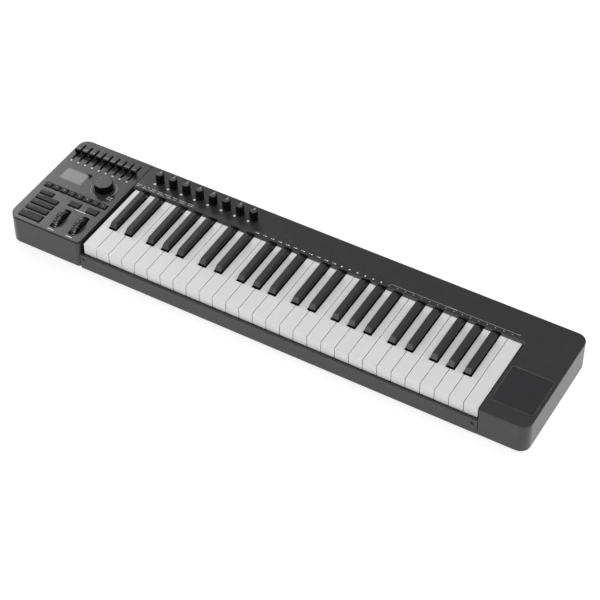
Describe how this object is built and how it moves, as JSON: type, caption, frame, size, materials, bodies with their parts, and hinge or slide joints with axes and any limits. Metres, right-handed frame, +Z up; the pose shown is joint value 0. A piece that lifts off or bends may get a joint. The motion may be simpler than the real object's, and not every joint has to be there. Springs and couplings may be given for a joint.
{
  "type": "midi keyboard",
  "caption": "Desktop keyboard controller: grey control panel with wheels, faders, buttons and dial, knobs on the deck, touch pad, sprung piano keys.",
  "frame": {"origin": "centre of the footprint, on the surface that the feet stand on", "axes": "+X along the keys from the lowest to the highest, +Y away from the player, +Z up"},
  "size_m": [0.902, 0.2106, 0.0745],
  "materials": {
    "shell": "satin charcoal moulded case",
    "deck": "satin charcoal, fine grain",
    "panel": "satin charcoal, fine grain",
    "white_keys": "satin white",
    "black_keys": "matte black",
    "controls": "gloss black",
    "knob_tops": "satin grey cap with a pale index line",
    "dial": "circular brushed",
    "buttons": "matte silicone",
    "chassis": "raw moulded",
    "board": "green solder mask",
    "metal": "plated socket shells and screws",
    "feet": "matte rubber",
    "screen": "pale display glass, unlit",
    "print": "pale printed marks, no lettering"
  },
  "bodies": {
    "case": {"base_tray": "shell", "main_deck": "deck", "control_panel": "panel", "front_rail": "shell", "main_board": "board", "keybed_chassis": "chassis"},
    "white_key_01": {"white_key_01": "white_keys"},
    "white_key_02": {"white_key_02": "white_keys"},
    "white_key_03": {"white_key_03": "white_keys"},
    "white_key_04": {"white_key_04": "white_keys"},
    "white_key_05": {"white_key_05": "white_keys"},
    "white_key_06": {"white_key_06": "white_keys"},
    "white_key_07": {"white_key_07": "white_keys"},
    "white_key_08": {"white_key_08": "white_keys"},
    "white_key_09": {"white_key_09": "white_keys"},
    "white_key_10": {"white_key_10": "white_keys"},
    "white_key_11": {"white_key_11": "white_keys"},
    "white_key_12": {"white_key_12": "white_keys"},
    "white_key_13": {"white_key_13": "white_keys"},
    "white_key_14": {"white_key_14": "white_keys"},
    "white_key_15": {"white_key_15": "white_keys"},
    "white_key_16": {"white_key_16": "white_keys"},
    "white_key_17": {"white_key_17": "white_keys"},
    "white_key_18": {"white_key_18": "white_keys"},
    "white_key_19": {"white_key_19": "white_keys"},
    "white_key_20": {"white_key_20": "white_keys"},
    "white_key_21": {"white_key_21": "white_keys"},
    "white_key_22": {"white_key_22": "white_keys"},
    "white_key_23": {"white_key_23": "white_keys"},
    "white_key_24": {"white_key_24": "white_keys"},
    "white_key_25": {"white_key_25": "white_keys"},
    "white_key_26": {"white_key_26": "white_keys"},
    "white_key_27": {"white_key_27": "white_keys"},
    "white_key_28": {"white_key_28": "white_keys"},
    "white_key_29": {"white_key_29": "white_keys"},
    "black_keys_01": {"black_keys_01": "black_keys"},
    "black_keys_02": {"black_keys_02": "black_keys"},
    "black_keys_03": {"black_keys_03": "black_keys"},
    "black_keys_04": {"black_keys_04": "black_keys"},
    "knob_01": {"knob_01": "controls"},
    "knob_02": {"knob_02": "controls"},
    "knob_03": {"knob_03": "controls"},
    "knob_04": {"knob_04": "controls"},
    "knob_05": {"knob_05": "controls"},
    "knob_06": {"knob_06": "controls"},
    "knob_07": {"knob_07": "controls"},
    "knob_08": {"knob_08": "controls"},
    "fader_01": {"fader_01": "controls"},
    "fader_02": {"fader_02": "controls"},
    "fader_03": {"fader_03": "controls"},
    "fader_04": {"fader_04": "controls"},
    "fader_05": {"fader_05": "controls"},
    "fader_06": {"fader_06": "controls"},
    "fader_07": {"fader_07": "controls"},
    "fader_08": {"fader_08": "controls"},
    "fader_09": {"fader_09": "controls"},
    "pitch_wheel": {"pitch_wheel": "controls"},
    "mod_wheel": {"mod_wheel": "controls"},
    "menu_encoder": {"menu_encoder": "dial"},
    "button_mat": {"button_mat": "buttons"}
  },
  "joints": [
    {"name": "pitch_wheel_turn", "type": "hinge", "parent": "case", "child": "pitch_wheel", "pos_m": [-0.3725, -0.07275, 0.041], "axis": [1, 0, 0], "range_deg": [-45, 45], "stiffness_Nm_per_rad": 0.05},
    {"name": "mod_wheel_turn", "type": "hinge", "parent": "case", "child": "mod_wheel", "pos_m": [-0.338, -0.07275, 0.041], "axis": [1, 0, 0], "range_deg": [-80, 0]},
    {"name": "menu_encoder_turn", "type": "hinge", "parent": "case", "child": "menu_encoder", "pos_m": [-0.3535, 0.01925, 0.06], "axis": [0, 0, 1], "continuous": true},
    {"name": "button_mat_press", "type": "slide", "parent": "case", "child": "button_mat", "axis": [0, 0, -1], "range_m": [0, 0.0008], "stiffness_N_per_m": 2000, "springref_m": -0.001},
    {"name": "black_keys_01_press", "type": "hinge", "parent": "case", "child": "black_keys_01", "pos_m": [0, 0.066, 0.0475], "axis": [1, 0, 0], "range_deg": [0, 3.9], "stiffness_Nm_per_rad": 1, "springref_deg": -22.92},
    {"name": "black_keys_02_press", "type": "hinge", "parent": "case", "child": "black_keys_02", "pos_m": [0, 0.066, 0.0475], "axis": [1, 0, 0], "range_deg": [0, 3.9], "stiffness_Nm_per_rad": 1, "springref_deg": -22.92},
    {"name": "black_keys_03_press", "type": "hinge", "parent": "case", "child": "black_keys_03", "pos_m": [0, 0.066, 0.0475], "axis": [1, 0, 0], "range_deg": [0, 3.9], "stiffness_Nm_per_rad": 1, "springref_deg": -22.92},
    {"name": "black_keys_04_press", "type": "hinge", "parent": "case", "child": "black_keys_04", "pos_m": [0, 0.066, 0.0475], "axis": [1, 0, 0], "range_deg": [0, 3.9], "stiffness_Nm_per_rad": 1, "springref_deg": -22.92},
    {"name": "fader_01_slide", "type": "slide", "parent": "case", "child": "fader_01", "axis": [0, 1, 0], "range_m": [-0.014, 0.018]},
    {"name": "fader_02_slide", "type": "slide", "parent": "case", "child": "fader_02", "axis": [0, 1, 0], "range_m": [-0.014, 0.018]},
    {"name": "fader_03_slide", "type": "slide", "parent": "case", "child": "fader_03", "axis": [0, 1, 0], "range_m": [-0.014, 0.018]},
    {"name": "fader_04_slide", "type": "slide", "parent": "case", "child": "fader_04", "axis": [0, 1, 0], "range_m": [-0.014, 0.018]},
    {"name": "fader_05_slide", "type": "slide", "parent": "case", "child": "fader_05", "axis": [0, 1, 0], "range_m": [-0.014, 0.018]},
    {"name": "fader_06_slide", "type": "slide", "parent": "case", "child": "fader_06", "axis": [0, 1, 0], "range_m": [-0.014, 0.018]},
    {"name": "fader_07_slide", "type": "slide", "parent": "case", "child": "fader_07", "axis": [0, 1, 0], "range_m": [-0.014, 0.018]},
    {"name": "fader_08_slide", "type": "slide", "parent": "case", "child": "fader_08", "axis": [0, 1, 0], "range_m": [-0.014, 0.018]},
    {"name": "fader_09_slide", "type": "slide", "parent": "case", "child": "fader_09", "axis": [0, 1, 0], "range_m": [-0.014, 0.018]},
    {"name": "knob_01_turn", "type": "hinge", "parent": "case", "child": "knob_01", "pos_m": [-0.2835, 0.07675, 0.06], "axis": [0, 0, 1], "range_deg": [-150, 150]},
    {"name": "knob_02_turn", "type": "hinge", "parent": "case", "child": "knob_02", "pos_m": [-0.2586, 0.07675, 0.06], "axis": [0, 0, 1], "range_deg": [-150, 150]},
    {"name": "knob_03_turn", "type": "hinge", "parent": "case", "child": "knob_03", "pos_m": [-0.2337, 0.07675, 0.06], "axis": [0, 0, 1], "range_deg": [-150, 150]},
    {"name": "knob_04_turn", "type": "hinge", "parent": "case", "child": "knob_04", "pos_m": [-0.2088, 0.07675, 0.06], "axis": [0, 0, 1], "range_deg": [-150, 150]},
    {"name": "knob_05_turn", "type": "hinge", "parent": "case", "child": "knob_05", "pos_m": [-0.1839, 0.07675, 0.06], "axis": [0, 0, 1], "range_deg": [-150, 150]},
    {"name": "knob_06_turn", "type": "hinge", "parent": "case", "child": "knob_06", "pos_m": [-0.159, 0.07675, 0.06], "axis": [0, 0, 1], "range_deg": [-150, 150]},
    {"name": "knob_07_turn", "type": "hinge", "parent": "case", "child": "knob_07", "pos_m": [-0.1341, 0.07675, 0.06], "axis": [0, 0, 1], "range_deg": [-150, 150]},
    {"name": "knob_08_turn", "type": "hinge", "parent": "case", "child": "knob_08", "pos_m": [-0.1092, 0.07675, 0.06], "axis": [0, 0, 1], "range_deg": [-150, 150]},
    {"name": "white_key_01_press", "type": "hinge", "parent": "case", "child": "white_key_01", "pos_m": [0, 0.068, 0.04], "axis": [1, 0, 0], "range_deg": [0, 3.4], "stiffness_Nm_per_rad": 0.3, "springref_deg": -20.05},
    {"name": "white_key_02_press", "type": "hinge", "parent": "case", "child": "white_key_02", "pos_m": [0, 0.068, 0.04], "axis": [1, 0, 0], "range_deg": [0, 3.4], "stiffness_Nm_per_rad": 0.3, "springref_deg": -20.05},
    {"name": "white_key_03_press", "type": "hinge", "parent": "case", "child": "white_key_03", "pos_m": [0, 0.068, 0.04], "axis": [1, 0, 0], "range_deg": [0, 3.4], "stiffness_Nm_per_rad": 0.3, "springref_deg": -20.05},
    {"name": "white_key_04_press", "type": "hinge", "parent": "case", "child": "white_key_04", "pos_m": [0, 0.068, 0.04], "axis": [1, 0, 0], "range_deg": [0, 3.4], "stiffness_Nm_per_rad": 0.3, "springref_deg": -20.05},
    {"name": "white_key_05_press", "type": "hinge", "parent": "case", "child": "white_key_05", "pos_m": [0, 0.068, 0.04], "axis": [1, 0, 0], "range_deg": [0, 3.4], "stiffness_Nm_per_rad": 0.3, "springref_deg": -20.05},
    {"name": "white_key_06_press", "type": "hinge", "parent": "case", "child": "white_key_06", "pos_m": [0, 0.068, 0.04], "axis": [1, 0, 0], "range_deg": [0, 3.4], "stiffness_Nm_per_rad": 0.3, "springref_deg": -20.05},
    {"name": "white_key_07_press", "type": "hinge", "parent": "case", "child": "white_key_07", "pos_m": [0, 0.068, 0.04], "axis": [1, 0, 0], "range_deg": [0, 3.4], "stiffness_Nm_per_rad": 0.3, "springref_deg": -20.05},
    {"name": "white_key_08_press", "type": "hinge", "parent": "case", "child": "white_key_08", "pos_m": [0, 0.068, 0.04], "axis": [1, 0, 0], "range_deg": [0, 3.4], "stiffness_Nm_per_rad": 0.3, "springref_deg": -20.05},
    {"name": "white_key_09_press", "type": "hinge", "parent": "case", "child": "white_key_09", "pos_m": [0, 0.068, 0.04], "axis": [1, 0, 0], "range_deg": [0, 3.4], "stiffness_Nm_per_rad": 0.3, "springref_deg": -20.05},
    {"name": "white_key_10_press", "type": "hinge", "parent": "case", "child": "white_key_10", "pos_m": [0, 0.068, 0.04], "axis": [1, 0, 0], "range_deg": [0, 3.4], "stiffness_Nm_per_rad": 0.3, "springref_deg": -20.05},
    {"name": "white_key_11_press", "type": "hinge", "parent": "case", "child": "white_key_11", "pos_m": [0, 0.068, 0.04], "axis": [1, 0, 0], "range_deg": [0, 3.4], "stiffness_Nm_per_rad": 0.3, "springref_deg": -20.05},
    {"name": "white_key_12_press", "type": "hinge", "parent": "case", "child": "white_key_12", "pos_m": [0, 0.068, 0.04], "axis": [1, 0, 0], "range_deg": [0, 3.4], "stiffness_Nm_per_rad": 0.3, "springref_deg": -20.05},
    {"name": "white_key_13_press", "type": "hinge", "parent": "case", "child": "white_key_13", "pos_m": [0, 0.068, 0.04], "axis": [1, 0, 0], "range_deg": [0, 3.4], "stiffness_Nm_per_rad": 0.3, "springref_deg": -20.05},
    {"name": "white_key_14_press", "type": "hinge", "parent": "case", "child": "white_key_14", "pos_m": [0, 0.068, 0.04], "axis": [1, 0, 0], "range_deg": [0, 3.4], "stiffness_Nm_per_rad": 0.3, "springref_deg": -20.05},
    {"name": "white_key_15_press", "type": "hinge", "parent": "case", "child": "white_key_15", "pos_m": [0, 0.068, 0.04], "axis": [1, 0, 0], "range_deg": [0, 3.4], "stiffness_Nm_per_rad": 0.3, "springref_deg": -20.05},
    {"name": "white_key_16_press", "type": "hinge", "parent": "case", "child": "white_key_16", "pos_m": [0, 0.068, 0.04], "axis": [1, 0, 0], "range_deg": [0, 3.4], "stiffness_Nm_per_rad": 0.3, "springref_deg": -20.05},
    {"name": "white_key_17_press", "type": "hinge", "parent": "case", "child": "white_key_17", "pos_m": [0, 0.068, 0.04], "axis": [1, 0, 0], "range_deg": [0, 3.4], "stiffness_Nm_per_rad": 0.3, "springref_deg": -20.05},
    {"name": "white_key_18_press", "type": "hinge", "parent": "case", "child": "white_key_18", "pos_m": [0, 0.068, 0.04], "axis": [1, 0, 0], "range_deg": [0, 3.4], "stiffness_Nm_per_rad": 0.3, "springref_deg": -20.05},
    {"name": "white_key_19_press", "type": "hinge", "parent": "case", "child": "white_key_19", "pos_m": [0, 0.068, 0.04], "axis": [1, 0, 0], "range_deg": [0, 3.4], "stiffness_Nm_per_rad": 0.3, "springref_deg": -20.05},
    {"name": "white_key_20_press", "type": "hinge", "parent": "case", "child": "white_key_20", "pos_m": [0, 0.068, 0.04], "axis": [1, 0, 0], "range_deg": [0, 3.4], "stiffness_Nm_per_rad": 0.3, "springref_deg": -20.05},
    {"name": "white_key_21_press", "type": "hinge", "parent": "case", "child": "white_key_21", "pos_m": [0, 0.068, 0.04], "axis": [1, 0, 0], "range_deg": [0, 3.4], "stiffness_Nm_per_rad": 0.3, "springref_deg": -20.05},
    {"name": "white_key_22_press", "type": "hinge", "parent": "case", "child": "white_key_22", "pos_m": [0, 0.068, 0.04], "axis": [1, 0, 0], "range_deg": [0, 3.4], "stiffness_Nm_per_rad": 0.3, "springref_deg": -20.05},
    {"name": "white_key_23_press", "type": "hinge", "parent": "case", "child": "white_key_23", "pos_m": [0, 0.068, 0.04], "axis": [1, 0, 0], "range_deg": [0, 3.4], "stiffness_Nm_per_rad": 0.3, "springref_deg": -20.05},
    {"name": "white_key_24_press", "type": "hinge", "parent": "case", "child": "white_key_24", "pos_m": [0, 0.068, 0.04], "axis": [1, 0, 0], "range_deg": [0, 3.4], "stiffness_Nm_per_rad": 0.3, "springref_deg": -20.05},
    {"name": "white_key_25_press", "type": "hinge", "parent": "case", "child": "white_key_25", "pos_m": [0, 0.068, 0.04], "axis": [1, 0, 0], "range_deg": [0, 3.4], "stiffness_Nm_per_rad": 0.3, "springref_deg": -20.05},
    {"name": "white_key_26_press", "type": "hinge", "parent": "case", "child": "white_key_26", "pos_m": [0, 0.068, 0.04], "axis": [1, 0, 0], "range_deg": [0, 3.4], "stiffness_Nm_per_rad": 0.3, "springref_deg": -20.05},
    {"name": "white_key_27_press", "type": "hinge", "parent": "case", "child": "white_key_27", "pos_m": [0, 0.068, 0.04], "axis": [1, 0, 0], "range_deg": [0, 3.4], "stiffness_Nm_per_rad": 0.3, "springref_deg": -20.05},
    {"name": "white_key_28_press", "type": "hinge", "parent": "case", "child": "white_key_28", "pos_m": [0, 0.068, 0.04], "axis": [1, 0, 0], "range_deg": [0, 3.4], "stiffness_Nm_per_rad": 0.3, "springref_deg": -20.05},
    {"name": "white_key_29_press", "type": "hinge", "parent": "case", "child": "white_key_29", "pos_m": [0, 0.068, 0.04], "axis": [1, 0, 0], "range_deg": [0, 3.4], "stiffness_Nm_per_rad": 0.3, "springref_deg": -20.05}
  ]
}
